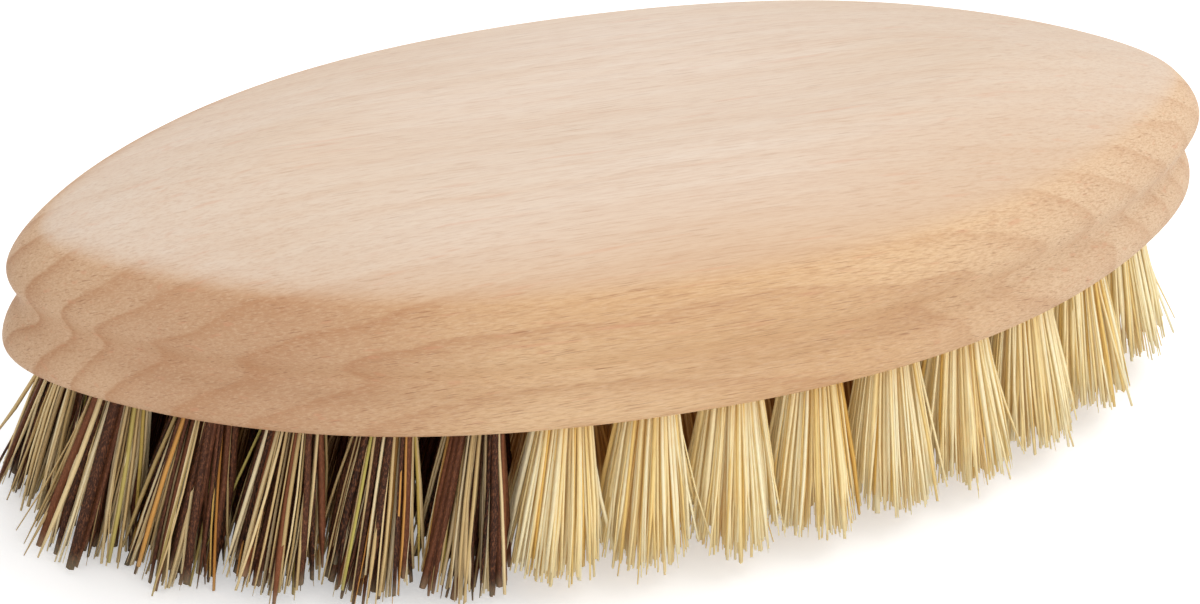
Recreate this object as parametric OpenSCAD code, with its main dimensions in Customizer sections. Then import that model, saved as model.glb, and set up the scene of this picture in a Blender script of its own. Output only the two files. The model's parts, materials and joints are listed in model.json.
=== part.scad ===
// Oval vegetable brush: a turned beech block with a finger groove all round,
// and two grades of fibre set in drilled holes, each tuft folded over a metal anchor.
// Stiff fibre fills the left end, soft fibre the rest, so one brush suits roots and skins.
// Millimetres. X runs along the block, towards the soft end; Y is its width; Z is up.
// The brush stands on its trimmed fibre ends, which lie in the plane Z = 0.

/* [Block] */
// Length of the block, tip to tip
block_l = 135; // [125:1:160]
// Width of the block at its middle
block_w = 52; // [48:0.5:62]
// Thickness of the block at its middle
block_h = 22; // [19:0.5:26]
// Share by which the two ends are narrower than those of an ellipse
end_taper = 0.3; // [0:0.01:0.35]
// How far in from the sides the dome of the top reaches
crown_w = 19; // [12:0.5:22]
// How far in from the tips the dome of the top reaches
crown_l = 30; // [19:0.5:36]
// How far in from the sides the shoulder lies, where the steep flank turns into the dome
shoulder_in = 2.6; // [2:0.1:4]
// How far below the very top the shoulder lies
shoulder_drop = 5.5; // [4:0.1:6.5]

/* [Finger groove] */
// Radius of the lower edge, where the block meets the fibre side
edge_r = 1.8; // [1:0.1:2.5]
// How far the lower bead stands out past the upper one
lower_out = 0.3; // [0:0.05:0.8]
// Height of the groove's crisp corner above the underside
groove_z = 6.3; // [5:0.1:8]
// Depth of the groove, measured from the upper bead
groove_d = 1.7; // [0.8:0.1:2.2]
// Height of the widest line of the upper bead above the underside
bead_z = 10.9; // [9.5:0.1:12.5]

/* [Tuft holes] */
// Diameter of a drilled hole
hole_d = 5.5; // [4.5:0.1:6]
// Depth of a hole's straight wall, along its axis
hole_depth = 10.5; // [9:0.5:11.5]
// Full angle of the drill's point
drill_angle = 118; // [90:2:140]
// Diameter of the flat at the very end of the drill's point
drill_flat = 1; // [0.6:0.1:2]
// Tufts in the outer ring
outer_count = 28; // [24:2:28]
// Inset of the outer ring from the tips of the block
outer_inset_l = 8.5; // [7.5:0.5:9.5]
// Inset of the outer ring from the sides of the block
outer_inset_w = 5; // [5:0.1:6.5]
// Share of one tuft's pitch by which the outer ring is turned back past the left tip
outer_turn = 0.35; // [0.3:0.05:0.5]
// Tufts in the inner ring
inner_count = 20; // [14:2:22]
// Inset of the inner ring from the tips of the block
inner_inset_l = 20; // [18:0.5:22]
// Inset of the inner ring from the sides of the block
inner_inset_w = 13.5; // [13:0.1:15]
// Tufts in the straight middle row
middle_count = 7; // [5:1:7]
// Distance between the holes of the middle row
middle_pitch = 11; // [9.5:0.1:12]
// Fan of the holes along the block: the outward lean of one at a tip, in degrees
fan_l = 13; // [0:0.5:14]
// Fan of the holes across the block: the outward lean of one at a side, in degrees
fan_w = 12; // [0:0.5:13]
// Stiff tufts of the outer ring, from the left tip along the near side
outer_stiff_near = 6; // [3:1:8]
// Stiff tufts of the outer ring, from the left tip along the far side
outer_stiff_far = 4; // [2:1:8]
// Stiff tufts of the inner ring, from its left tip along the near side
inner_stiff_near = 4; // [1:1:6]
// Stiff tufts of the inner ring, from its left tip along the far side
inner_stiff_far = 3; // [1:1:6]
// Stiff tufts of the middle row, from its left end
middle_stiff = 2; // [1:1:4]

/* [Fibres] */
// Free length of the fibres, from the underside of the block to the trimmed ends
fibre_l = 22; // [16:0.5:30]
// Strands that one tuft is drawn with
strands = 8; // [5:1:8]
// Side of a strand at its trimmed end
strand_tip_w = 1.6; // [0.8:0.05:1.7]
// Gap between two tufts at the trimmed ends, where they come closest
tip_gap = 0.3; // [0.2:0.1:1.5]
// Most that a strand stays short of the trimming plane
trim_short = 2; // [0:0.1:3]
// Gap between the packed root of a tuft and the wall of its hole
root_gap = 0.1; // [0.05:0.01:0.2]

/* [Anchors] */
// Thickness of the flat anchor wire
wire_t = 0.35; // [0.25:0.05:0.5]
// Height of the flat anchor wire, along the hole
wire_h = 1.8; // [1.2:0.1:2.4]
// How far each end of an anchor bites into the wood
anchor_bite = 0.7; // [0.3:0.05:1]
// Depth of the anchor's middle below the mouth of the hole
anchor_depth = 8.2; // [6:0.1:8.4]
// Clearance of an anchor in its slot and in the fold of its tuft
anchor_gap = 0.05; // [0.03:0.01:0.1]

/* [Hidden] */
outline_points = 72;   // points round the block, a multiple of 4
ring_steps = 720;      // steps in which a ring's length is measured
edge_steps = 3;
bead_steps = 4;
cove_steps = 6;
flank_steps = 3;
dome_steps = 6;
flank_bow = 1.6;       // how late the flank leans in towards the shoulder
dome_bow = 1.7;        // how much the dome flattens towards the middle
strand_start = 1.5;    // depth inside the packed root at which a strand begins
bend_at = 0.5;         // share of a strand's free length at which it bends
bend_share = 0.4;      // share of the spread that it has reached there
floor_gap = 0.2;       // room between a tuft's root and the bottom of its hole
mouth_over = 1;        // how far a cutter runs past the underside
full_length_step = 3;  // every third outer strand reaches the trimming plane
strand_margin = 0.1;   // packed root left outside the strands where they leave the block
strand_fill = 0.72;    // share of a tuft's rim that its outer strands fill there
row_outer = 0;
row_inner = 1;
row_middle = 2;
stiff_near = [outer_stiff_near, inner_stiff_near, middle_stiff];
stiff_far = [outer_stiff_far, inner_stiff_far, 0];
row_counts = [outer_count, inner_count, middle_count];

block_z = fibre_l;
half_l = block_l / 2;
half_w = block_w / 2;
bead_rise = groove_z - edge_r;
bead_in = groove_d + lower_out;
bead_r = (bead_rise * bead_rise + bead_in * bead_in) / (2 * bead_in);
root_d = hole_d - 2 * root_gap;
point_h = (hole_d - drill_flat) / 2 / tan(drill_angle / 2);
anchor_l = hole_d + 2 * anchor_bite;
rim_strands = strands - 1;
rim_width = 2 * sin(180 / rim_strands) * strand_fill;
root_out = (root_d / 2 - strand_margin) / (1 + rim_width / sqrt(2));
strand_w = rim_width * root_out;

beech = "burlywood";
stiff_fibre = "saddlebrown";
soft_fibre = "khaki";
anchor_metal = "silver";

// A point of the pointed oval at angle t, inset from the block's tips and from its sides
function oval(t, inset_l, inset_w) = [
    (half_l - inset_l) * cos(t),
    (half_w - inset_w) * sin(t) * (1 - end_taper * pow(cos(t), 4))
];

// The block's side from the underside up, as [inset at the sides, height, inset at the tips]
function side_profile() = concat(
    [for (i = [0:edge_steps]) let (a = 90 * i / edge_steps)
        level(edge_r * (1 - sin(a)) - lower_out, edge_r * (1 - cos(a)))],
    [for (i = [1:bead_steps]) let (z = bead_rise * i / bead_steps)
        level(bead_r - sqrt(bead_r * bead_r - z * z) - lower_out, edge_r + z)],
    [for (i = [1:cove_steps]) let (u = i / cove_steps)
        level(groove_d * (1 + cos(180 * u)) / 2, groove_z + (bead_z - groove_z) * u)],
    [for (i = [1:flank_steps]) let (u = i / flank_steps)
        crown(shoulder_in * pow(u, flank_bow), bead_z + (block_h - shoulder_drop - bead_z) * u)],
    [for (i = [1:dome_steps]) let (u = i / dome_steps)
        crown(shoulder_in + (crown_w - shoulder_in) * u, block_h - shoulder_drop * pow(1 - u, dome_bow))]
);
function level(inset, z) = [inset, z, inset];
function crown(inset, z) = [inset, z, inset * crown_l / crown_w];

// One ring of points round the block at a step of its profile
function block_ring(step) = [for (i = [0:outline_points - 1])
    let (p = oval(360 * i / outline_points, step[2], step[0]))
    [p[0], p[1], block_z + step[1]]];

// Distance run along a ring, next to the X and the Y that it has reached there
function ring_table(inset_l, inset_w) = let (
    p = [for (i = [0:ring_steps]) oval(180 + 360 * i / ring_steps, inset_l, inset_w)],
    d = [for (i = 0, s = 0; i <= ring_steps;
        s = s + (i < ring_steps ? norm(p[i + 1] - p[i]) : 0), i = i + 1) s]
) [for (i = [0:ring_steps]) [d[i], p[i][0], p[i][1]]];

function ring_at(table, s) = [
    lookup(s, [for (r = table) [r[0], r[1]]]),
    lookup(s, [for (r = table) [r[0], r[2]]])
];

// How far a fibre set at a point leans outwards for each millimetre that it runs down
function fan(x, y) = [tan(fan_l) * x / half_l, tan(fan_w) * y / half_w];

// Evenly spaced tufts round a ring from its left tip, as [row, [x, y], lean, place in the row]
function ring_tufts(row, inset_l, inset_w, count, turned) = let (
    table = ring_table(inset_l, inset_w),
    pitch = table[ring_steps][0] / count
) [for (k = [0:count - 1]) let (
    p = ring_at(table, ((k == 0 ? count : k) - turned) * pitch)
) [row, p, fan(p[0], p[1]), k]];

middle_tufts = [for (k = [0:middle_count - 1])
    let (x = (k - (middle_count - 1) / 2) * middle_pitch)
    [row_middle, [x, 0], fan(x, 0), k]];

tufts = concat(
    ring_tufts(row_outer, outer_inset_l, outer_inset_w, outer_count, outer_turn),
    ring_tufts(row_inner, inner_inset_l, inner_inset_w, inner_count, 0),
    middle_tufts
);

// Where each tuft's axis meets the trimming plane, and how far its strands may spread there
tips = [for (tuft = tufts) tuft[1] + tuft[2] * fibre_l];
tip_reach = (min([for (i = [1:len(tips) - 1], j = [0:i - 1]) norm(tips[i] - tips[j])]) - tip_gap) / 2;
tip_out = sqrt(pow(tip_reach, 2) - pow(strand_tip_w / 2, 2)) - strand_tip_w / 2;

// A tuft's name says its grade, its row and its number within the two
row_names = ["outer", "inner", "middle"];
function is_stiff(tuft) = tuft[3] < stiff_near[tuft[0]]
    || tuft[3] >= row_counts[tuft[0]] - stiff_far[tuft[0]];
function alike_before(k) = len([for (i = [0:k])
    if (tufts[i][0] == tufts[k][0] && is_stiff(tufts[i]) == is_stiff(tufts[k])) i]);
function two_digits(n) = n < 10 ? str("0", n) : str(n);
function tuft_name(k) = str(is_stiff(tufts[k]) ? "stiff_" : "soft_",
    row_names[tufts[k][0]], "_", two_digits(alike_before(k)));
tuft_names = [for (k = [0:len(tufts) - 1]) tuft_name(k)];

// Places its children at a hole: Z runs into the wood along the hole, X stays along the block
module at_hole(tuft) {
    into_wood = atan2(-tuft[2][1], -tuft[2][0]);
    translate([tuft[1][0], tuft[1][1], block_z])
        rotate([0, atan(norm(tuft[2])), into_wood])
            rotate([0, 0, -into_wood])
                children();
}

// The drilled hole, with the drill's point at its bottom, as one turned cutter
module hole_cutter() {
    rotate_extrude($fn = 48)
        polygon([
            [0, -mouth_over], [hole_d / 2, -mouth_over],
            [hole_d / 2, hole_depth], [drill_flat / 2, hole_depth + point_h],
            [0, hole_depth + point_h]
        ]);
}

// The flat anchor wire, lying across the hole; gap grows it all round into its slot
module anchor(gap = 0) {
    translate([-anchor_l / 2 - gap, -wire_t / 2 - gap, anchor_depth - wire_h / 2 - gap])
        cube([anchor_l + 2 * gap, wire_t + 2 * gap, wire_h + 2 * gap]);
}

// The solid block, as rings of triangles closed by a flat underside and a flat top
module block_blank() {
    steps = side_profile();
    n = outline_points;
    last = (len(steps) - 1) * n;
    polyhedron(
        points = [for (step = steps) each block_ring(step)],
        faces = concat(
            [for (r = [0:len(steps) - 2], i = [0:n - 1]) each let (
                a = r * n + i, b = r * n + (i + 1) % n
            ) [[a, a + n, b], [b, a + n, b + n]]],
            [[for (i = [0:n - 1]) i]],
            [[for (i = [0:n - 1]) last + n - 1 - i]]
        )
    );
}

module block() {
    color(beech)
        difference() {
            block_blank();
            for (tuft = tufts)
                at_hole(tuft) {
                    hole_cutter();
                    anchor(anchor_gap);
                }
        }
}

module tuft_anchors() {
    color(anchor_metal)
        for (tuft = tufts)
            at_hole(tuft) anchor();
}

// A square ring of a strand round a centre, level, turned to face away from the tuft's axis
function strand_ring(centre, width, turn) = [for (i = [0:3])
    [centre[0] + width / sqrt(2) * cos(turn + 45 + 90 * i),
     centre[1] + width / sqrt(2) * sin(turn + 45 + 90 * i),
     centre[2]]];

// Where a tuft's axis is at height z
function axis_at(tuft, z) = [
    tuft[1][0] + tuft[2][0] * (block_z - z),
    tuft[1][1] + tuft[2][1] * (block_z - z),
    z
];

// One strand, from inside the packed root to its level trimmed end
module strand(tuft, turn, start_out, end_out, tip_z) {
    bend_z = block_z - bend_at * (block_z - tip_z);
    heading = [cos(turn), sin(turn), 0];
    rings = [
        strand_ring(axis_at(tuft, block_z + strand_start) + heading * start_out, strand_w, turn),
        strand_ring(
            axis_at(tuft, bend_z) + heading * (start_out + (end_out - start_out) * bend_share),
            strand_w + (strand_tip_w - strand_w) * bend_at, turn),
        strand_ring(axis_at(tuft, tip_z) + heading * end_out, strand_tip_w, turn)
    ];
    top = len(rings) - 1;
    polyhedron(
        points = [for (ring = rings) each ring],
        faces = concat(
            [[0, 3, 2], [0, 2, 1]],
            [for (r = [0:top - 1], i = [0:3]) each let (
                a = 4 * r + i, b = 4 * r + (i + 1) % 4
            ) [[a, b, a + 4], [b, b + 4, a + 4]]],
            [[4 * top, 4 * top + 1, 4 * top + 2], [4 * top, 4 * top + 2, 4 * top + 3]]
        )
    );
}

// The packed root of a tuft, folded over its anchor at the bottom of the hole
module tuft_root() {
    difference() {
        cylinder(h = hole_depth - floor_gap, d = root_d, $fn = 48);
        anchor(anchor_gap);
    }
}

// The direction from a tuft's axis to each of its outer strands
function turns(k) = let (first = rands(0, 1, 1, 500 + k)[0])
    [for (j = [0:rim_strands - 1]) 360 * (first + j) / rim_strands];

// How far each outer strand of a tuft stays short of the trimming plane
function shortfalls(k) = let (r = rands(0, trim_short, rim_strands, 100 + k))
    [for (j = [0:rim_strands - 1]) j % full_length_step == 0 ? 0 : r[j]];

module tuft(k) {
    tuft = tufts[k];
    turn = turns(k);
    short = shortfalls(k);
    color(is_stiff(tuft) ? stiff_fibre : soft_fibre) {
        at_hole(tuft) tuft_root();
        strand(tuft, turn[0], 0, 0, 0);
        for (j = [0:rim_strands - 1])
            strand(tuft, turn[j], root_out, tip_out, short[j]);
    }
}

block();
tuft_anchors();
for (k = [0:len(tufts) - 1])
    tuft(k);
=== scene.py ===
# %% [markdown]
# # An oval vegetable brush
# A beech block with a finger groove carries two grades of plant fibre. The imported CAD
# model is the fixed frame: it says where every hole, tuft and anchor is. This script
# dresses it. The block is lofted again in finer steps, each CAD tuft of eight thick
# strands becomes a bundle of real fibres, and every surface gets a procedural finish.

# %% Tools
import json
import math

import bpy
import numpy as np
from mathutils import Matrix, Vector

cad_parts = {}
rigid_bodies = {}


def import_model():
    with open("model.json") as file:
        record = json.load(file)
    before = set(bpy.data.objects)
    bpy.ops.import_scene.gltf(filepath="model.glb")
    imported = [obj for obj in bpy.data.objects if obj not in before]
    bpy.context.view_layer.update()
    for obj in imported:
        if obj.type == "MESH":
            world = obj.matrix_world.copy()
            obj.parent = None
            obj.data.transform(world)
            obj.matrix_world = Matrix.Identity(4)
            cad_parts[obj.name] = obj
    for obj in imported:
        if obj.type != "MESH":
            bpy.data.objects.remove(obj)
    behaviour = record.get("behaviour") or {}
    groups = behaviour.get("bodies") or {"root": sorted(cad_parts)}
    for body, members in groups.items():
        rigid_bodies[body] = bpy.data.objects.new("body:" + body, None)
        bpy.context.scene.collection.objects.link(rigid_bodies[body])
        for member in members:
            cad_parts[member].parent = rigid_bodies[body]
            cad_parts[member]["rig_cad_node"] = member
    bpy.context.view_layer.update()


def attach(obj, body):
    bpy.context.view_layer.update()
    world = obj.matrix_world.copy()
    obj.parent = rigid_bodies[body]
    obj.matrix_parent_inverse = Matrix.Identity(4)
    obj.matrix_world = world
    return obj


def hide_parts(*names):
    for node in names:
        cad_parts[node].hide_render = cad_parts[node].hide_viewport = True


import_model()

# %% [markdown]
# ## The camera
# The photograph was taken with a long lens, from the front and well above, and slightly
# rolled. A long lens far away keeps both ends of the block nearly the same size. The
# camera is built from its viewing direction, because a direction and a distance are
# easier to read than a matrix.

# %% Camera
MM = 0.001
FRAME_WIDTH = 1200
SENSOR = 36.0
FOCAL_PIXELS = 5140
NEAREST, FARTHEST = 0.01, 20
LOOK_AT = Vector((-1.22, 0, 17.0)) * MM
DISTANCE = 560 * MM
AZIMUTH, ELEVATION, ROLL = (math.radians(a) for a in (-22.9, 39.0, 6.25))


def place_camera():
    """A camera that looks at LOOK_AT from the photograph's direction."""
    back = Vector((
        math.sin(AZIMUTH) * math.cos(ELEVATION),
        -math.cos(AZIMUTH) * math.cos(ELEVATION),
        math.sin(ELEVATION),
    ))
    level = (-back).cross(Vector((0, 0, 1))).normalized()
    above = level.cross(-back)
    right = math.cos(ROLL) * level + math.sin(ROLL) * above
    up = -math.sin(ROLL) * level + math.cos(ROLL) * above
    lens = bpy.data.cameras.new("camera")
    lens.sensor_width = SENSOR
    lens.lens = SENSOR * FOCAL_PIXELS / FRAME_WIDTH
    lens.clip_start, lens.clip_end = NEAREST, FARTHEST
    camera = bpy.data.objects.new("camera", lens)
    bpy.context.scene.collection.objects.link(camera)
    turned = Matrix((right, up, back)).transposed().to_4x4()
    camera.matrix_world = Matrix.Translation(LOOK_AT + back * DISTANCE) @ turned
    bpy.context.scene.camera = camera


place_camera()
print("camera", DISTANCE, "m away")

# %% [markdown]
# ## Writing node trees as formulas
# Node trees are easiest to read as arithmetic. A Wire is one output socket, and adding or
# multiplying wires adds Math nodes. A Sheet is the tree that they are written on. Its one
# method for all other nodes takes the node's type, its settings and its inputs. The same
# two classes serve shaders and Geometry Nodes alike.


# %% Formulas for node trees
class Wire:
    """One output socket, on which arithmetic adds Math nodes."""

    def __init__(self, sheet, socket):
        self.sheet, self.socket = sheet, socket

    def __add__(self, other):
        return self.sheet.maths("ADD", self, other)

    def __sub__(self, other):
        return self.sheet.maths("SUBTRACT", self, other)

    def __rsub__(self, other):
        return self.sheet.maths("SUBTRACT", other, self)

    def __mul__(self, other):
        return self.sheet.maths("MULTIPLY", self, other)

    def __truediv__(self, other):
        return self.sheet.maths("DIVIDE", self, other)

    def __pow__(self, other):
        return self.sheet.maths("POWER", self, other)

    def __lt__(self, other):
        return self.sheet.maths("LESS_THAN", self, other)

    __radd__, __rmul__ = __add__, __mul__


class Sheet:
    """A node tree, written on with formulas."""

    ON_ONE_VALUE = ("SINE", "COSINE", "FRACT", "SQRT", "ROUND")

    def __init__(self, tree):
        self.tree = tree

    def socket(self, sockets, key):
        """The socket of that name or place, among those that the settings leave in use."""
        used = [s for s in sockets if s.enabled]
        return used[key] if isinstance(key, int) else next(s for s in used if s.name == key)

    def feed(self, socket, value):
        """Links a wire to the socket, or writes a plain value in it."""
        if isinstance(value, Wire):
            self.tree.links.new(value.socket, socket)
        else:
            socket.default_value = value

    def set_stops(self, ramp, stops):
        """Colour stops, as (place, colour) pairs."""
        while len(ramp.elements) < len(stops):
            ramp.elements.new(0.5)
        for element, (place, colour) in zip(ramp.elements, stops):
            element.position, element.color = place, colour

    def node(self, kind, settings=None, inputs=None, output=0):
        """Adds a node: settings first, then the values or links of its sockets."""
        made = self.tree.nodes.new(kind)
        for name, value in (settings or {}).items():
            if name == "stops":
                self.set_stops(made.color_ramp, value)
            else:
                setattr(made, name, value)
        for key, value in (inputs or {}).items():
            self.feed(self.socket(made.inputs, key), value)
        if output is None:
            return made
        if isinstance(output, tuple):
            return [Wire(self, self.socket(made.outputs, key)) for key in output]
        return Wire(self, self.socket(made.outputs, output))

    def maths(self, operation, a, b=0.0, clamp=False):
        """A Math node on one or two values."""
        values = (a,) if operation in self.ON_ONE_VALUE else (a, b)
        return self.node("ShaderNodeMath", {"operation": operation, "use_clamp": clamp},
                         dict(enumerate(values)))

    def clamped(self, value):
        """The value, held between 0 and 1."""
        return self.maths("ADD", value, 0.0, clamp=True)

    def step_up(self, value, low, high):
        """0 below low, 1 above high and smooth between them."""
        return self.node("ShaderNodeMapRange", {"interpolation_type": "SMOOTHSTEP"},
                         {"Value": value, "From Min": low, "From Max": high})

    def join(self, x, y, z):
        """One vector from three values."""
        return self.node("ShaderNodeCombineXYZ", None, {0: x, 1: y, 2: z})

    def split(self, vector):
        """The three values of a vector."""
        return self.node("ShaderNodeSeparateXYZ", None, {0: vector}, (0, 1, 2))

    def vector(self, operation, a, b):
        """A Vector Math node on two vectors, or on a vector and a number for SCALE."""
        key = "Scale" if operation == "SCALE" else 1
        return self.node("ShaderNodeVectorMath", {"operation": operation}, {0: a, key: b})


def srgb(red, green, blue):
    """A colour as an eye or a picture gives it, 0 to 255, in the renderer's linear values."""
    def linear(v):
        v /= 255
        return v / 12.92 if v <= 0.04045 else ((v + 0.055) / 1.055) ** 2.4
    return (linear(red), linear(green), linear(blue), 1.0)


print("beech cream in linear values", [round(v, 3) for v in srgb(232, 206, 174)])

# %% [markdown]
# ## Sizes
# The sizes are those of the CAD source, in millimetres. The same formulas give the
# outline of the block and the seat of every tuft, so the dressed model and the solids
# agree to a hair. Insets are measured from the tips (l) and from the sides (w).

# %% Sizes of the brush
HALF_L, HALF_W, BLOCK_H = 67.5, 26.0, 22.0
END_TAPER = 0.3  # how much narrower the ends are than those of an ellipse
CROWN_W, CROWN_L = 19.0, 30.0  # how far in the dome of the top reaches
SHOULDER_IN, SHOULDER_DROP = 2.6, 5.5
FLANK_BOW, DOME_BOW = 1.6, 1.7  # how late the flank leans in, how flat the dome becomes
EDGE_R, LOWER_OUT = 1.8, 0.3  # the lower edge, and how far its bead stands out
GROOVE_Z, GROOVE_D, BEAD_Z = 6.3, 1.7, 10.9
GROOVE_CORNER = 0.9  # height over which the groove's corner is rounded off
HOLE_D, HOLE_DEPTH = 5.5, 11.6  # the straight wall with most of the drill's point
MIDDLE_COUNT, MIDDLE_PITCH = 7, 11.0
FREE_L = 22.0
FAN_L, FAN_W = math.tan(math.radians(13)), math.tan(math.radians(12))


def oval(angle, inset_l, inset_w):
    """A point of the pointed oval, inset from the tips and from the sides."""
    return ((HALF_L - inset_l) * math.cos(angle),
            (HALF_W - inset_w) * math.sin(angle) * (1 - END_TAPER * math.cos(angle) ** 4))


def ring_seats(inset_l, inset_w, count, turned):
    """Evenly spaced seats round the oval from its left tip, as in the CAD source."""
    around = np.radians(180 + np.linspace(0, 360, 721))
    points = np.array([oval(a, inset_l, inset_w) for a in around])
    run = np.concatenate([[0], np.cumsum(np.hypot(*np.diff(points, axis=0).T))])
    # The first seat lies just before the left tip, so it is counted from the run's end.
    where = [((k if k else count) - turned) * run[-1] / count for k in range(count)]
    return [(np.interp(s, run, points[:, 0]), np.interp(s, run, points[:, 1])) for s in where]


def all_seats():
    """Every tuft's (x, y), whether it is a stiff one, and its row from the outside in."""
    outer = ring_seats(inset_l=8.5, inset_w=5, count=28, turned=0.35)
    inner = ring_seats(inset_l=20, inset_w=13.5, count=20, turned=0)
    middle = [((k - MIDDLE_COUNT // 2) * MIDDLE_PITCH, 0.0) for k in range(MIDDLE_COUNT)]
    seats = []
    for row, (places, stiff_near, stiff_far) in enumerate(
            ((outer, 6, 4), (inner, 4, 3), (middle, 2, 0))):
        for k, (x, y) in enumerate(places):
            stiff = k < stiff_near or k >= len(places) - stiff_far
            seats.append((x, y, stiff, row))
    return seats


SEATS = all_seats()
print(len(SEATS), "tufts,", sum(seat[2] for seat in SEATS), "of them stiff")

# %% [markdown]
# ## Geometry Nodes trees
# Both the block and the fibres follow rules, so both come from Geometry Nodes. A small
# helper makes a tree with named inputs. Another sets them on a modifier by each socket's
# identifier and turns the evaluated result into a plain mesh. What differs from tuft to
# tuft is written on the seats, one loose point for each tuft, and the trees read it there.


# %% Helpers for Geometry Nodes
def form_tree(name, wanted):
    """A Geometry Nodes tree with named inputs of each kind, and the wires of its inputs."""
    tree = bpy.data.node_groups.new(name, "GeometryNodeTree")
    tree.interface.new_socket("Geometry", in_out="INPUT", socket_type="NodeSocketGeometry")
    for kind, labels in wanted.items():
        for label in labels:
            tree.interface.new_socket(label, in_out="INPUT", socket_type="NodeSocket" + kind)
    tree.interface.new_socket("Geometry", in_out="OUTPUT", socket_type="NodeSocketGeometry")
    sheet = Sheet(tree)
    given = sheet.node("NodeGroupInput", None, None, None)
    return sheet, {s.name: Wire(sheet, s) for s in given.outputs if s.name}


def close_tree(sheet, geometry, finish):
    """Ends a tree: the finish is set on the geometry, and the geometry goes out."""
    done = sheet.node("GeometryNodeSetMaterial", None,
                      {"Geometry": geometry, "Material": finish})
    sheet.node("NodeGroupOutput", None, {"Geometry": done}, None)


def stored(sheet, geometry, name, value, kind="FLOAT"):
    """The geometry, with a value written on each of its points under a name."""
    return sheet.node("GeometryNodeStoreNamedAttribute", {"data_type": kind, "domain": "POINT"},
                      {"Geometry": geometry, "Name": name, "Value": value})


def attribute(sheet, name, kind="FLOAT"):
    """What is written on each point under a name."""
    return sheet.node("GeometryNodeInputNamedAttribute", {"data_type": kind}, {"Name": name})


def grown(name, start, sheet, sizes):
    """Runs a tree on a mesh with the given sizes and returns the result as a plain piece."""
    maker = bpy.data.objects.new(name + "_maker", start)
    bpy.context.scene.collection.objects.link(maker)
    modifier = maker.modifiers.new("form", "NODES")
    modifier.node_group = sheet.tree
    for item in sheet.tree.interface.items_tree:
        if item.in_out == "INPUT" and item.name in sizes:
            modifier[item.identifier] = sizes[item.name]
    bpy.context.view_layer.update()
    mesh = bpy.data.meshes.new_from_object(
        maker.evaluated_get(bpy.context.evaluated_depsgraph_get()))
    mesh.name = name
    bpy.data.objects.remove(maker)
    piece = bpy.data.objects.new(name, mesh)
    bpy.context.scene.collection.objects.link(piece)
    triangles = sum(len(p.vertices) - 2 for p in mesh.polygons)
    print(name, len(mesh.vertices), "points", triangles, "triangles")
    return piece


# %% What differs from tuft to tuft
INNER_SPREAD = 1.28  # the hidden rows open this much wider and fill the middle
SOFT_SHORT = 1.7  # the outer soft tufts end this much above the floor
TIP_LONG, TIP_END = 1.5, -42  # how much longer the outer stiff ones are, left of this x
MIX_START, MIX_RUN = -60, 40  # over this run from the left tip broad fibres grow commoner
MIX_LEAST, MIX_GAIN = 0.7, 0.6


def seat_mesh(name, seats):
    """Loose points, one for each tuft, that carry what differs from tuft to tuft."""
    mesh = bpy.data.meshes.new(name)
    mesh.from_pydata([(x * MM, y * MM, FREE_L * MM) for x, y, *_ in seats], [], [])
    x, y, stiff, row = (np.array(column) for column in zip(*seats))
    lean = np.stack([FAN_L * x / HALF_L, FAN_W * y / HALF_W, np.zeros(len(seats))], -1)
    outer_trim = np.where(stiff, -TIP_LONG * (x < TIP_END), SOFT_SHORT)
    for label, kind, values in (
            ("lean", "FLOAT_VECTOR", lean),
            ("tuft", "INT", np.arange(len(seats))),
            ("mix", "FLOAT", MIX_LEAST + MIX_GAIN * np.clip((x - MIX_START) / MIX_RUN, 0, 1)),
            ("spread", "FLOAT", np.where(row > 0, INNER_SPREAD, 1.0)),
            ("trimmed", "FLOAT", np.where(row > 0, 0.0, outer_trim) * MM)):
        made = mesh.attributes.new(label, kind, "POINT")
        made.data.foreach_set("vector" if kind == "FLOAT_VECTOR" else "value", np.ravel(values))
    return mesh


# %% [markdown]
# ## The block
# The real block is moulded with one cutter that runs round it: a domed top, a shoulder, a
# groove for the fingers and a bulged bead over the fibres. Its section is the same all
# round, so one section curve swept round the oval makes it. The section is a short list
# of points. A grid is bent round the oval in Geometry Nodes and reads its inset and
# height from that list. The holes are drilled with one boolean, a cutter on every seat.
# Its exact solver is slower than the default one, which leaves some holes shut here.


# %% Helpers for the section
def arc(count, point):
    """Points of a rule in even steps of its way, without the first one."""
    return [point((i + 1) / count) for i in range(count)]


def bend(start, corner, end, count):
    """Points of a small rounding between two neighbours of a corner."""
    a, c, b = (np.array(p) for p in (start, corner, end))
    return [tuple((1 - u) ** 2 * a + 2 * u * (1 - u) * c + u * u * b)
            for u in np.linspace(0, 1, count + 2)[1:-1]]


def even(inset, z):
    """A point of the section whose inset is the same at the sides and at the tips."""
    return (inset, inset, z)


def crown(inset, z):
    """A point of the upper part, where the section reaches farther in at the tips."""
    return (inset, inset * CROWN_L / CROWN_W, z)


# %% Section of the block
EDGE_STEPS, BEAD_STEPS, CORNER_STEPS, COVE_STEPS = 7, 12, 6, 14
FLANK_STEPS, SHOULDER_STEPS, DOME_STEPS = 12, 7, 30


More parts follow.
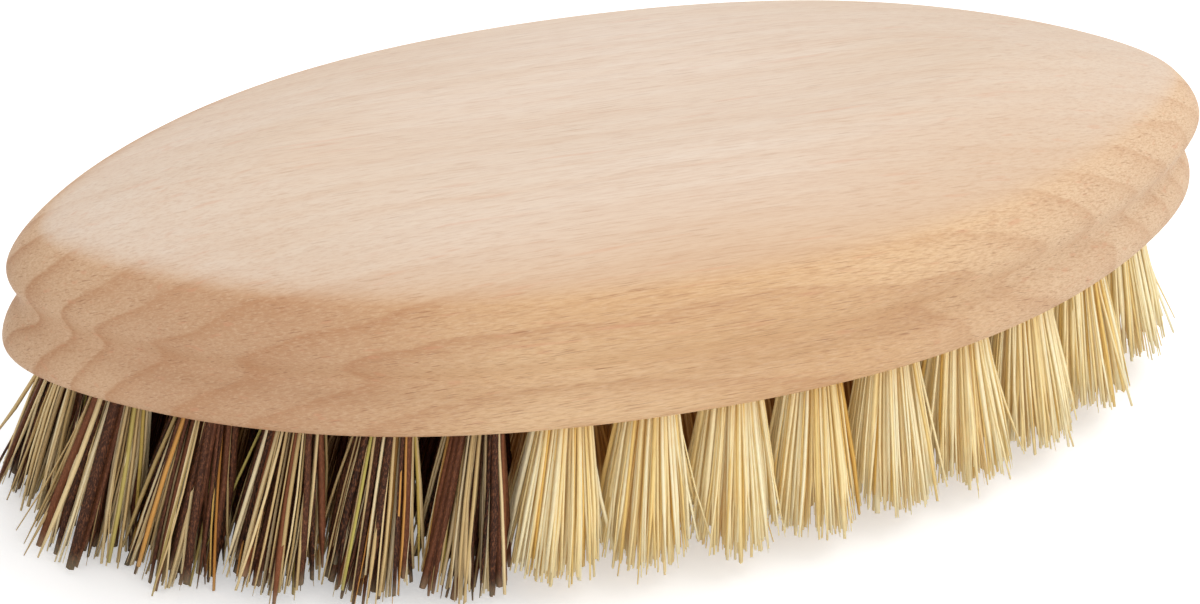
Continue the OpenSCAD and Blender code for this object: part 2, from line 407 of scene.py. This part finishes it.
def lower_section():
    """The underside, the rounded edge, the bulged bead and the groove."""
    rise, depth = GROOVE_Z - EDGE_R, GROOVE_D + LOWER_OUT
    bead_r = (rise * rise + depth * depth) / (2 * depth)
    bead_rise = rise - GROOVE_CORNER
    flat = EDGE_R - LOWER_OUT
    underside = [(flat + (HALF_W - flat) * s, flat + (HALF_L - flat) * s, 0)
                 for s in (1, 0.75, 0.5, 0.25, 0.1, 0)]
    edge = arc(EDGE_STEPS, lambda u: even(
        EDGE_R * (1 - math.sin(u * math.pi / 2)) - LOWER_OUT,
        EDGE_R * (1 - math.cos(u * math.pi / 2))))
    bead = arc(BEAD_STEPS, lambda u: even(
        bead_r - math.sqrt(bead_r ** 2 - (bead_rise * u) ** 2) - LOWER_OUT,
        EDGE_R + bead_rise * u))
    cove = arc(COVE_STEPS, lambda u: even(
        GROOVE_D * (1 + math.cos(math.pi * u)) / 2,
        GROOVE_Z + (BEAD_Z - GROOVE_Z) * u))[2:]
    corner = bend(bead[-1], even(GROOVE_D, GROOVE_Z), cove[0], CORNER_STEPS)
    return underside + edge + bead + corner + cove


def upper_section():
    """The steep flank, the shoulder, the dome and the flat middle of the top."""
    shoulder_z = BLOCK_H - SHOULDER_DROP
    flank = arc(FLANK_STEPS, lambda u: crown(
        SHOULDER_IN * u ** FLANK_BOW,
        BEAD_Z + (shoulder_z - BEAD_Z) * u))
    dome = arc(DOME_STEPS, lambda u: crown(
        SHOULDER_IN + (CROWN_W - SHOULDER_IN) * u,
        BLOCK_H - SHOULDER_DROP * (1 - u) ** DOME_BOW))
    shoulder = bend(flank[-3], flank[-1], dome[2], SHOULDER_STEPS)
    top = [(CROWN_W + (HALF_W - CROWN_W) * s, CROWN_L + (HALF_L - CROWN_L) * s, BLOCK_H)
           for s in (0.15, 0.4, 0.7, 1)]
    return flank[:-2] + shoulder + dome[2:] + top


# Each point is its inset at the sides, its inset at the tips and its height.
SECTION = lower_section() + upper_section()
print(len(SECTION), "points in the section")


# %% Loft of the block
WELD = 2e-6  # points nearer than this become one, along the seam and at the two poles
DRILL_SIDES = 32
DRILL_START = 1 * MM  # how far outside the underside a drill begins


def lofted(sheet, given):
    """A grid bent round the oval, with its insets and heights read from the section."""
    grid = sheet.node("GeometryNodeMeshGrid", None, {
        "Size X": 1.0, "Size Y": 1.0, "Vertices X": given["Steps round"] + 1,
        "Vertices Y": given["Section points"]}, "Mesh")
    place = sheet.node("GeometryNodeInputPosition")
    across, along, _ = sheet.split(place)
    row = sheet.maths("ROUND", (along + 0.5) * (given["Section points"] - 1))
    read = sheet.node("GeometryNodeSampleIndex", {"data_type": "FLOAT_VECTOR"}, {
        "Geometry": given["Geometry"], "Value": place, "Index": row})
    inset_w, inset_l, height = sheet.split(read)
    angle = (across + 0.5) * math.tau
    cosine, sine = sheet.maths("COSINE", angle), sheet.maths("SINE", angle)
    narrowing = 1 - given["End taper"] * cosine * cosine * cosine * cosine
    bent = sheet.node("GeometryNodeSetPosition", None, {
        "Geometry": grid, "Position": sheet.join(
            (given["Half length"] - inset_l) * cosine,
            (given["Half width"] - inset_w) * sine * narrowing,
            given["Base height"] + height)})
    return sheet.node("GeometryNodeMergeByDistance", None, {"Geometry": bent, "Distance": WELD})


def drills(sheet, given):
    """A cutter on every seat, leaning as its tuft does."""
    mouths = sheet.node("GeometryNodeObjectInfo", None, {"Object": given["Seats"]}, "Geometry")
    inward = sheet.vector("SUBTRACT", (0, 0, 1), attribute(sheet, "lean", "FLOAT_VECTOR"))
    turn = sheet.node("FunctionNodeAlignRotationToVector", {"axis": "Z"}, {"Vector": inward})
    axis = sheet.node("ShaderNodeVectorMath", {"operation": "NORMALIZE"}, {0: inward})
    length = given["Hole depth"] + DRILL_START
    drill = sheet.node("GeometryNodeMeshCylinder", None, {
        "Vertices": DRILL_SIDES, "Radius": given["Hole radius"], "Depth": length}, "Mesh")
    seated = sheet.node("GeometryNodeSetPosition", None, {
        "Geometry": mouths, "Offset": sheet.vector("SCALE", axis, length * 0.5 - DRILL_START)})
    placed = sheet.node("GeometryNodeInstanceOnPoints", None, {
        "Points": seated, "Instance": drill, "Rotation": turn})
    return sheet.node("GeometryNodeRealizeInstances", None, {"Geometry": placed})


def block_tree():
    """The lofted block, drilled on every seat."""
    sheet, given = form_tree("block_form", {
        "Float": ("Half length", "Half width", "End taper", "Base height", "Hole radius",
                  "Hole depth"),
        "Int": ("Steps round", "Section points"), "Object": ("Seats",),
        "Material": ("Finish",)})
    drilled = sheet.node(
        "GeometryNodeMeshBoolean", {"operation": "DIFFERENCE", "solver": "EXACT"},
        {"Mesh 1": lofted(sheet, given), "Mesh 2": drills(sheet, given)}, "Mesh")
    close_tree(sheet, drilled, given["Finish"])
    return sheet


BLOCK_TREE = block_tree()
print(len(BLOCK_TREE.tree.nodes), "nodes make the block")

# %% [markdown]
# ## Finishes
# Every finish starts as an empty material and ends in one shader. Most patterns are noise
# on Object coordinates, in millimetres of the brush, so they run through a piece and not
# along its faces.


# %% Helpers for finishes
class Finish(Sheet):
    """The sheet of a new material, with what the finishes have in common."""

    def __init__(self, name):
        self.material = bpy.data.materials.new(name)
        self.material.use_nodes = True
        self.material.node_tree.nodes.clear()
        super().__init__(self.material.node_tree)

    def millimetres(self):
        """The place on the piece, in millimetres, as three wires."""
        place = self.node("ShaderNodeTexCoord", None, None, "Object")
        return self.split(self.vector("SCALE", place, 1 / MM))

    def noise(self, vector, detail=2.0, roughness=0.5):
        """Noise from 0 to 1, whose grains are one unit of the vector wide."""
        return self.node(
            "ShaderNodeTexNoise", {"noise_dimensions": "3D"},
            {"Vector": vector, "Scale": 1.0, "Detail": detail, "Roughness": roughness})

    def ramp(self, value, stops):
        """The colour that the stops give for a value."""
        return self.node("ShaderNodeValToRGB", {"stops": stops}, {0: value})

    def blend(self, factor, a, b, mode="MIX"):
        """Colour a turning to colour b with the factor."""
        return self.node("ShaderNodeMix", {"data_type": "RGBA", "blend_type": mode},
                         {"Factor": factor, "A": a, "B": b})

    def tinted(self, colour, tint):
        """The colour as it looks through a tint."""
        return self.blend(1.0, colour, tint, "MULTIPLY")

    def principled(self, inputs):
        """A Principled shader with these inputs."""
        return self.node("ShaderNodeBsdfPrincipled", None, inputs)

    def closed(self, shader):
        """The material, with this shader as its surface."""
        self.node("ShaderNodeOutputMaterial", None, {"Surface": shader}, None)
        return self.material


# %% [markdown]
# ## Beech
# Beech is cream to pinkish tan, nearly without contrast. What makes it beech are the
# short dark flecks along the grain, very fine pores, and soft yearly bands where the
# rounded sides cut through the growth rings. The finish is written in millimetres of the
# block, so the bands run through the wood as they do in a real plank: on the flat top
# they are long streaks, and at the turned ends they stand up in curves. Each layer is a
# share of its own colour over the ones before it.

# %% Finish of the block
RING_WIDTH = 3.6
RING_LEAN_X, RING_LEAN_Z = 0.04, 0.24  # how the plank was cut from the trunk


def beech():
    """Cream beech with rings, streaks, pores and dark flecks, and painted shade on its side."""
    s = Finish("beech")
    x, y, z = s.millimetres()

    def grain(along, across, detail=2.0, roughness=0.5, shift=0):
        """Noise stretched along the wood, by how far it goes on in each millimetre."""
        return s.noise(s.join(x * along + shift, y * across, z * across), detail, roughness)

    def dashes(along, thin, deep, detail, roughness):
        """Noise in short flat dashes, thin in one direction of the section."""
        return s.noise(s.join(x * along, (y + z) * thin, (y - z) * deep), detail, roughness)

    def leftward(start, end):
        """0 at the start of a stretch left of the middle, and 1 from its end on."""
        return s.step_up(-1 * x, start, end)

    def rightward(start, end):
        """0 at the start of a stretch right of the middle, and 1 from its end on."""
        return s.step_up(x, start, end)

    upward = s.split(s.node("ShaderNodeNewGeometry", None, None, "Normal"))[2]
    side = s.step_up(1 - upward, 0.06, 0.34)
    drift = grain(0.012, 0.05) - 0.5
    wave = grain(0.05, 0.12, shift=9) - 0.5
    depth = y + RING_LEAN_X * x + RING_LEAN_Z * z + drift * 8.0 + wave * 4.0
    ring = s.maths("FRACT", depth / RING_WIDTH)
    late_wood = ring ** 3.0 * s.step_up(1 - ring, 0.0, 0.12)
    contrast = 0.12 + side * (0.4 + 0.5 * leftward(10.0, 40.0))
    band = late_wood * (0.3 + 1.1 * grain(0.02, 0.12)) * contrast
    streak = grain(0.014, 0.8, 4.0, 0.65)
    hair = grain(0.22, 6.0, 3.0, 0.65)
    blotch = s.step_up(grain(0.018, 0.045), 0.3, 0.72)
    silk = grain(0.6, 5.0, 3.0, 0.7)
    fleck = s.step_up(dashes(0.22, 7.0, 1.1, 1.0, 0.4), 0.66, 0.74)
    dash = s.step_up(dashes(0.45, 9.0, 1.6, 2.0, 0.5), 0.56, 0.68)
    rose = s.step_up(grain(0.07, 1.5, 1.0, 0.4, shift=40), 0.64, 0.78)
    # Darker and warmer towards the front edge of the top.
    front_warmth = s.step_up(drift * 16.0 - y + 0.12 * x, 9.0, 25.0)
    shaded_left = leftward(12.0, 46.0) * (1 - 0.7 * leftward(54.0, 64.0))

    top = s.blend(blotch, srgb(224, 207, 191), srgb(218, 198, 178))
    top = s.blend(front_warmth, top, srgb(211, 179, 148))
    top = s.blend(rightward(0.0, 60.0) * 0.4, top, srgb(208, 186, 162))
    # The side is a deeper tan, partly the wood's own and partly painted shade away from the
    # light above.
    flank = s.blend(blotch, srgb(226, 190, 147), srgb(211, 168, 122))
    body = s.blend(side, top, flank)
    for share, colour in (
            # Painted shade on the left of the side, painted light on the right; pale at the left
            # tip.
            (shaded_left * side * 0.6, srgb(178, 134, 106)),
            (leftward(50.0, 66.0) * side * 0.45, srgb(214, 184, 158)),
            (rightward(14.0, 56.0) * side * 0.6, srgb(218, 193, 166)),
            # Long streaks and the bands of late wood.
            (s.clamped(streak * 1.7 - 0.6) * 0.34, srgb(206, 166, 130)),
            (s.clamped(band), srgb(182, 130, 90)),
            # Pores, light and dark silk between them, and short dashes.
            (s.clamped((0.52 - hair) * 4.0) * (0.32 + 0.24 * side), srgb(184, 138, 104)),
            (s.clamped((silk - 0.5) * 3.0) * (0.14 + 0.3 * side), srgb(236, 208, 174)),
            (s.clamped((0.5 - silk) * 3.4) * (0.16 + 0.34 * side), srgb(188, 138, 96)),
            (dash * (0.1 + 0.3 * side), srgb(168, 116, 78)),
            # A few rosy patches and the dark flecks.
            (rose * (0.2 + 0.14 * side), srgb(208, 146, 112)),
            (fleck * (0.2 + 0.34 * side), srgb(146, 96, 62))):
        body = s.blend(share, body, colour)
    bump = s.node("ShaderNodeBump", None, {
        "Strength": 0.22, "Distance": 0.15 * MM,
        "Height": hair * 0.6 + streak * 0.4 - fleck * 0.6})
    return s.closed(s.principled({
        "Base Color": body, "Roughness": 0.5 + 0.12 * hair, "Specular IOR Level": 0.3,
        "Normal": bump}))


beech_finish = beech()
print("beech has", len(beech_finish.node_tree.nodes), "nodes")


# %% Making the block
STEPS_ROUND = 168


def make_block():
    """The block, with the seats in the scene only as long as its tree reads them."""
    start = bpy.data.meshes.new("section")
    start.from_pydata([tuple(v * MM for v in p) for p in SECTION], [], [])
    seats = bpy.data.objects.new("seats", seat_mesh("seats", SEATS))
    bpy.context.scene.collection.objects.link(seats)
    piece = grown("block_wood", start, BLOCK_TREE, {
        "Half length": HALF_L * MM, "Half width": HALF_W * MM, "End taper": END_TAPER,
        "Base height": FREE_L * MM, "Steps round": STEPS_ROUND,
        "Section points": len(SECTION), "Hole radius": HOLE_D / 2 * MM,
        "Hole depth": HOLE_DEPTH * MM, "Seats": seats, "Finish": beech_finish})
    bpy.data.objects.remove(seats)
    return piece


def smooth_outside(piece, sharp_angle):
    """Smooth faces that point outwards, with crisp edges past the given angle."""
    mesh = piece.data
    corners = np.zeros(len(mesh.vertices) * 3)
    mesh.vertices.foreach_get("co", corners)
    corners = corners.reshape(-1, 3)
    mesh.calc_loop_triangles()
    faces = np.array([t.vertices[:] for t in mesh.loop_triangles])
    a, b, c = (corners[faces[:, i]] for i in range(3))
    volume = float(np.einsum("ij,ij->i", a, np.cross(b, c)).sum() / 6)
    if volume < 0:
        mesh.flip_normals()
    mesh.polygons.foreach_set("use_smooth", [True] * len(mesh.polygons))
    mesh.set_sharp_from_angle(angle=math.radians(sharp_angle))
    mesh.update()
    print(piece.name, "encloses", round(abs(volume) * 1e6, 2), "cm3")


block_wood = make_block()
smooth_outside(block_wood, sharp_angle=40)

# %% [markdown]
# ## The fibres
# A tuft is a bundle of some two hundred fibres, folded over its anchor and packed tight
# in its hole. It opens like a small fan, because nothing holds it below the wood, and it
# is trimmed afterwards. In Geometry Nodes each seat is copied once for every fibre. The
# copies are spread over the hole like seeds in a sunflower head, and each gets its own
# drift, bow, length, width and tone from seeded random values. A straight line on every
# copy is then bent by those values and given its thickness. Simulated hair would do the
# same with more work, and its result could not be written down in a few numbers.

# %% Each fibre's own values
GOLDEN_ANGLE = 2.39996
LEAST_SHORT = 0.2 * MM  # no fibre ends nearer to the floor than this


def scattered_fibres(sheet, given):
    """Copies each seat for every fibre and writes on each copy what is its own."""
    def chance(draw, low=0.0, high=1.0, by=None):
        """A random value of each fibre, or of each tuft. Every draw has its own number."""
        inputs = {"Min": low, "Max": high, "Seed": given["Seed"] + draw}
        if by is not None:
            inputs["ID"] = by
        return sheet.node("FunctionNodeRandomValue", {"data_type": "FLOAT"}, inputs)

    fibres, turn = sheet.node(
        "GeometryNodeDuplicateElements", {"domain": "POINT"},
        {"Geometry": given["Geometry"], "Amount": given["Fibres in a tuft"]},
        ("Geometry", "Duplicate Index"))
    tuft = attribute(sheet, "tuft", "INT")
    share = sheet.maths("SQRT", (turn + 0.5) / given["Fibres in a tuft"])
    angle = turn * GOLDEN_ANGLE + chance(1, 0, math.tau, tuft) + chance(2, -0.25, 0.25)
    out = share * given["Root radius"] * chance(3, 0.9, 1.0)
    cosine, sine = sheet.maths("COSINE", angle), sheet.maths("SINE", angle)
    heading, side = sheet.join(cosine, sine, 0.0), sheet.join(sine * -1, cosine, 0.0)

    def pushed(outward, sideways):
        """A way off the middle of the tuft and sideways, as one vector."""
        return sheet.vector("ADD", sheet.vector("SCALE", heading, outward),
                            sheet.vector("SCALE", side, sideways))

    broad_share = given["Broad share"] * attribute(sheet, "mix") * chance(11, 0.8, 1.2, tuft)
    broad = chance(10) < broad_share
    stray = (chance(4) < given["Stray share"]) * (1 - broad)
    astray = stray * chance(6, 0.3, 1.0) * given["Stray reach"]
    drift = pushed(chance(5, -1, 1) * given["Drift"] + astray, chance(7, -1, 1) * given["Drift"])
    bow = pushed(chance(8, -1, 1) * given["Bow"], chance(9, -1, 1) * given["Bow"])
    more = broad * (given["Broad width"] - given["Thin width"])
    short = (chance(13) * chance(14) * given["Trim scatter"]
             + share * share * chance(15, 0.6, 1.1) * given["Rounding"]
             + attribute(sheet, "trimmed"))
    reach = given["Free length"] - sheet.maths("MAXIMUM", short, LEAST_SHORT)
    for name, value, kind in (
            ("seat", sheet.node("GeometryNodeInputPosition"), "FLOAT_VECTOR"),
            ("disc", sheet.vector("SCALE", heading, out), "FLOAT_VECTOR"),
            ("drift", drift, "FLOAT_VECTOR"),
            ("bow", bow, "FLOAT_VECTOR"),
            ("broad", broad, "FLOAT"),
            ("width", (given["Thin width"] + more) * chance(12, 0.7, 1.25), "FLOAT"),
            ("share", share, "FLOAT"),
            ("reach", reach, "FLOAT"),
            ("blunt", chance(16, 0.1, 1.0), "FLOAT"),
            ("tone", chance(17), "FLOAT"),
            ("twist", chance(18, 0, math.tau), "FLOAT")):
        fibres = stored(sheet, fibres, name, value, kind)
    return fibres


# %% Bent lines
OPENING_BOW = 0.75  # how early the fan opens on its way down
TAPER_START = 0.8  # share of a fibre's length at which it begins to narrow


def bent_lines(sheet, given, fibres):
    """A line on every fibre's copy, bent as its values say, and its width along the way."""
    straight = sheet.node("GeometryNodeCurvePrimitiveLine", None, {"End": (0, 0, 1)})
    line = sheet.node("GeometryNodeResampleCurve", None, {
        "Curve": straight, "Count": given["Points along"]})
    placed = sheet.node("GeometryNodeInstanceOnPoints", None,
                        {"Points": fibres, "Instance": line})
    lines = sheet.node("GeometryNodeRealizeInstances", None, {"Geometry": placed})
    along = sheet.node("GeometryNodeSplineParameter", None, None, "Factor")
    buried = given["Length in hole"]
    drop = along * (buried + attribute(sheet, "reach")) - buried
    free = sheet.maths("MAXIMUM", drop, 0.0) / given["Free length"]
    widest = attribute(sheet, "spread") * given["Tip radius"] / given["Root radius"]
    opening = 1 + (widest - 1) * free ** OPENING_BOW
    where = sheet.vector("SCALE", attribute(sheet, "disc", "FLOAT_VECTOR"), opening)
    for name, amount in (("lean", drop), ("drift", free * free), ("bow", free * (1 - free) * 4)):
        way = sheet.vector("SCALE", attribute(sheet, name, "FLOAT_VECTOR"), amount)
        where = sheet.vector("ADD", where, way)
    where = sheet.vector("ADD", where, attribute(sheet, "seat", "FLOAT_VECTOR"))
    where = sheet.vector("SUBTRACT", where, sheet.join(0.0, 0.0, drop))
    bent = sheet.node("GeometryNodeSetPosition", None, {"Geometry": lines, "Position": where})
    bent = stored(sheet, bent, "along", along)
    ending = sheet.maths("MAXIMUM", along - TAPER_START, 0.0) * (1 / (1 - TAPER_START))
    width = attribute(sheet, "width") * (1 - ending * (1 - attribute(sheet, "blunt")))
    return bent, width


# %% Tree of the fibres
def fibre_tree():
    """A bundle of fibres on every seat, each a thin tube along its own bent line."""
    sheet, given = form_tree("fibre_form", {
        "Float": ("Root radius", "Tip radius", "Free length", "Length in hole",
                  "Trim scatter", "Thin width", "Broad width", "Broad share", "Flatness",
                  "Drift", "Bow", "Stray share", "Stray reach", "Rounding"),
        "Int": ("Fibres in a tuft", "Sides", "Points along", "Seed"),
        "Material": ("Finish",)})
    bent, width = bent_lines(sheet, given, scattered_fibres(sheet, given))
    twisted = sheet.node("GeometryNodeSetCurveTilt", None, {
        "Curve": bent, "Tilt": attribute(sheet, "twist")})
    ring = sheet.node("GeometryNodeCurvePrimitiveCircle", None,
                      {"Resolution": given["Sides"], "Radius": 0.5})
    flat = sheet.node("GeometryNodeTransform", None, {
        "Geometry": ring, "Scale": sheet.join(1.0, given["Flatness"], 1.0)})
    tubes = sheet.node("GeometryNodeCurveToMesh", None, {
        "Curve": twisted, "Profile Curve": flat, "Scale": width, "Fill Caps": True})
    whole = sheet.node("GeometryNodeRealizeInstances", None, {"Geometry": tubes})
    close_tree(sheet, whole, given["Finish"])
    return sheet


FIBRE_TREE = fibre_tree()
print(len(FIBRE_TREE.tree.nodes), "nodes make the fibres")

# %% [markdown]
# ## Colours of the fibres
# The soft fibre is pale cream with golden strands among it. The stiff mix has thin
# straw-coloured stalks and broad, flat, dark brown ones, and here and there an orange or a
# green one. Each fibre carries a random tone that picks its colour from a ramp, and noise
# in the place of the bundle keeps it from looking like plastic. Real fibres pass light on
# to their neighbours, which a bundle of solid rods does not. A faint glow of the fibre's
# own colour is painted light that stands for that light. Painted shade makes the glow and
# the colour browner in the rows behind, and gives the middle of each bundle and the part
# near the wood a darker core colour.


# %% Finishes of the fibres
def fibre_finish(name, thin_stops, broad_stops, core_shade_colour, bark_share, roughness, glow):
    """One grade of fibre, from the tones of its thin and of its broad ones."""
    s = Finish(name)
    x, y, z = s.millimetres()

    def read(label):
        return s.node("ShaderNodeAttribute", {"attribute_name": label}, None, "Fac")

    tone, along, broad = read("tone"), read("along"), read("broad")
    colour = s.blend(s.step_up(broad, 0.4, 0.6),
                     s.ramp(tone, thin_stops), s.ramp(tone, broad_stops))
    # Painted shade: fibres in the middle of a bundle and near the wood turn to the core shade
    # colour.
    middle = s.step_up(1 - read("share"), 0.12, 0.6)
    upper = s.step_up(0.5 - along, 0.0, 0.4)
    worn = s.noise(s.join(x * 2.6, y * 2.6, z * 0.3), 3.0, 0.6)
    bark = s.noise(s.join(x * 7, y * 7, z * 1.3), 3.0, 0.75)
    colour = s.blend(s.clamped(middle * 0.5 + upper * 0.25), colour, core_shade_colour)
    colour = s.blend(s.clamped((worn - 0.45) * 1.6) * 0.5, colour,
                     s.tinted(colour, srgb(220, 194, 158)))
    colour = s.blend(s.clamped((bark - 0.48) * 4.5) * broad * bark_share, colour,
                     srgb(168, 106, 70))
    colour = s.blend(s.step_up(along, 0.9, 1.0) * 0.2, colour, srgb(236, 220, 180))
    # Painted shade browns the rows behind, except at their tips; the glow in that colour is
    # painted light.
    shaded_behind = s.step_up(read("spread"), 1.0, INNER_SPREAD) * s.step_up(0.94 - along, 0.0, 0.26)
    glow_and_shade_colour = s.blend(shaded_behind, colour, s.tinted(colour, srgb(150, 96, 50)))
    return s.closed(s.principled({
        "Base Color": s.blend(shaded_behind * 0.6, colour, glow_and_shade_colour), "Roughness": roughness,
        "Emission Color": glow_and_shade_colour, "Emission Strength": glow, "Specular IOR Level": 0.15}))


CREAM = [(0.0, srgb(255, 244, 206)), (0.55, srgb(255, 236, 186)),
         (0.9, srgb(250, 224, 160)), (0.97, srgb(238, 202, 124)), (1.0, srgb(222, 176, 92))]
STRAW = [(0.0, srgb(252, 234, 192)), (0.3, srgb(240, 216, 166)), (0.65, srgb(222, 192, 138)),
         (0.88, srgb(190, 162, 110)), (0.92, srgb(196, 182, 96)), (0.95, srgb(220, 166, 92)),
         (1.0, srgb(206, 142, 70))]
DARK = [(0.0, srgb(38, 23, 17)), (0.5, srgb(66, 40, 29)), (0.8, srgb(94, 56, 38)),
        (1.0, srgb(150, 90, 58))]
soft_finish = fibre_finish("soft_fibre", CREAM, CREAM, core_shade_colour=srgb(242, 192, 102),
                           bark_share=0.04, roughness=0.55, glow=0.065)
stiff_finish = fibre_finish("stiff_fibre", STRAW, DARK, core_shade_colour=srgb(92, 52, 30),
                            bark_share=0.6, roughness=0.6, glow=0.02)
print("fibre finishes", soft_finish.name, stiff_finish.name)


# %% Making the fibres
BOTH_GRADES = {
    "Free length": FREE_L * MM, "Length in hole": 2.5 * MM, "Root radius": 2.6 * MM,
    "Rounding": 2.6 * MM, "Stray share": 0.05}


def make_tufts(name, stiff, sizes):
    """The bundles of one grade, grown on the seats of that grade."""
    seats = [seat for seat in SEATS if seat[2] == stiff]
    return grown(name, seat_mesh(name + "_seats", seats), FIBRE_TREE, {**BOTH_GRADES, **sizes})


soft_fibres = make_tufts("soft_fibres", False, {
    "Fibres in a tuft": 260, "Tip radius": 6.1 * MM, "Trim scatter": 2.6 * MM,
    "Thin width": 0.38 * MM, "Broad width": 0.6 * MM, "Broad share": 0.2, "Flatness": 0.9,
    "Sides": 3, "Points along": 4, "Drift": 0.8 * MM, "Bow": 0.35 * MM,
    "Stray reach": 3.4 * MM, "Seed": 7, "Finish": soft_finish})
stiff_fibres = make_tufts("stiff_fibres", True, {
    "Fibres in a tuft": 150, "Tip radius": 5.8 * MM, "Trim scatter": 3.2 * MM,
    "Thin width": 0.44 * MM, "Broad width": 0.92 * MM, "Broad share": 0.34, "Flatness": 0.55,
    "Sides": 4, "Points along": 5, "Drift": 1.2 * MM, "Bow": 0.4 * MM,
    "Stray reach": 3.5 * MM, "Seed": 21, "Finish": stiff_finish})
for piece in (soft_fibres, stiff_fibres):
    smooth_outside(piece, sharp_angle=130)

# %% [markdown]
# ## The anchors
# Each tuft is folded over a flat wire at the bottom of its hole. The CAD node has the
# right shape already, so it stays and only gets a finish of drawn steel.


# %% Finish of the anchors
def drawn_steel():
    """Grey steel with fine lines."""
    s = Finish("anchor_steel")
    x, y, z = s.millimetres()
    lines = s.noise(s.join(x * 0.6, y * 8, z * 8), 3.0)
    return s.closed(s.principled({
        "Base Color": s.blend(lines, srgb(150, 150, 152), srgb(196, 196, 198)),
        "Metallic": 1.0, "Roughness": 0.25 + 0.25 * lines}))


anchors = bpy.data.objects["tuft_anchors"]
anchors.data.materials.clear()
anchors.data.materials.append(drawn_steel())
print(anchors.name, "is finished as", anchors.data.materials[0].name)

# %% [markdown]
# ## Light, floor and background
# The photograph is a cut-out on white. One big soft lamp above makes the top pale, and one
# in front, low down, reaches the fibres under the wood. The world fills the rest. The
# camera alone sees the floor a little brighter than it is, so the picture's ground is
# white and the brush still keeps its shadow.

# %% Lamps
LAMP_DISTANCE = 1.2


def lamp(name, direction, size, power):
    """A square soft lamp that shines on the brush from a direction."""
    light = bpy.data.lights.new(name, "AREA")
    light.shape, light.size, light.energy = "SQUARE", size, power
    holder = bpy.data.objects.new(name, light)
    away = Vector(direction).normalized()
    holder.location = away * LAMP_DISTANCE + LOOK_AT
    holder.rotation_euler = away.to_track_quat("Z", "Y").to_euler()
    bpy.context.scene.collection.objects.link(holder)
    print("lamp", name, power, "W")


lamp("key", direction=(0.4, 0.15, 1.0), size=0.8, power=6.0)
lamp("fill", direction=(0.4, -1.0, 0.05), size=1.0, power=6.2)

# %% Floor and world
WHITE = (1, 1, 1, 1)
FLOOR_WHITE = (0.86, 0.86, 0.86, 1)
FLOOR_REACH = 3.0
FLOOR_GLOW = 0.4  # what the camera alone sees on top of the floor's own light
SKY_LIGHT, CARD_LIGHT = 0.75, 1.0  # the world's light, and how bright the world looks


def white_floor():
    """A large floor that only the camera sees brighter than it is."""
    s = Finish("floor")
    seen = s.node("ShaderNodeLightPath", None, None, "Is Camera Ray")
    plain = {"Base Color": FLOOR_WHITE, "Roughness": 0.9}
    bright = {**plain, "Emission Color": WHITE, "Emission Strength": FLOOR_GLOW}
    both = s.node("ShaderNodeMixShader", None, {
        0: seen, 1: s.principled(plain), 2: s.principled(bright)})
    r = FLOOR_REACH
    mesh = bpy.data.meshes.new("floor")
    mesh.from_pydata([(-r, -r, 0), (r, -r, 0), (r, r, 0), (-r, r, 0)], [], [(0, 1, 2, 3)])
    mesh.materials.append(s.closed(both))
    floor = bpy.data.objects.new("floor", mesh)
    bpy.context.scene.collection.objects.link(floor)


def white_world():
    """A world that lights softly and looks white to the camera and in reflections."""
    world = bpy.data.worlds.new("studio")
    bpy.context.scene.world = world
    world.use_nodes = True
    world.node_tree.nodes.clear()
    s = Sheet(world.node_tree)
    camera, glossy, through = s.node("ShaderNodeLightPath", None, None, (
        "Is Camera Ray", "Is Glossy Ray", "Is Transmission Ray"))
    seen = s.maths("MAXIMUM", s.maths("MAXIMUM", camera, glossy), through)
    sky, card = (s.node("ShaderNodeBackground", None, {"Color": WHITE, "Strength": light})
                 for light in (SKY_LIGHT, CARD_LIGHT))
    both = s.node("ShaderNodeMixShader", None, {0: seen, 1: sky, 2: card})
    s.node("ShaderNodeOutputWorld", None, {"Surface": both}, None)


white_floor()
white_world()
bpy.context.scene.view_settings.view_transform = "Standard"
print("floor and world are white")

# %% [markdown]
# ## Riding on the body
# Every piece rides on the brush's one body, and the CAD nodes that it stands for are hidden.

# %% Riding and replacing
nodes = sorted(o.name for o in bpy.data.objects if "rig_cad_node" in o)
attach(block_wood, "root")
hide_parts("block")
for piece, grade in ((soft_fibres, "soft_"), (stiff_fibres, "stiff_")):
    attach(piece, "root")
    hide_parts(*[n for n in nodes if n.startswith(grade)])
print("pieces", block_wood.name, soft_fibres.name, stiff_fibres.name)
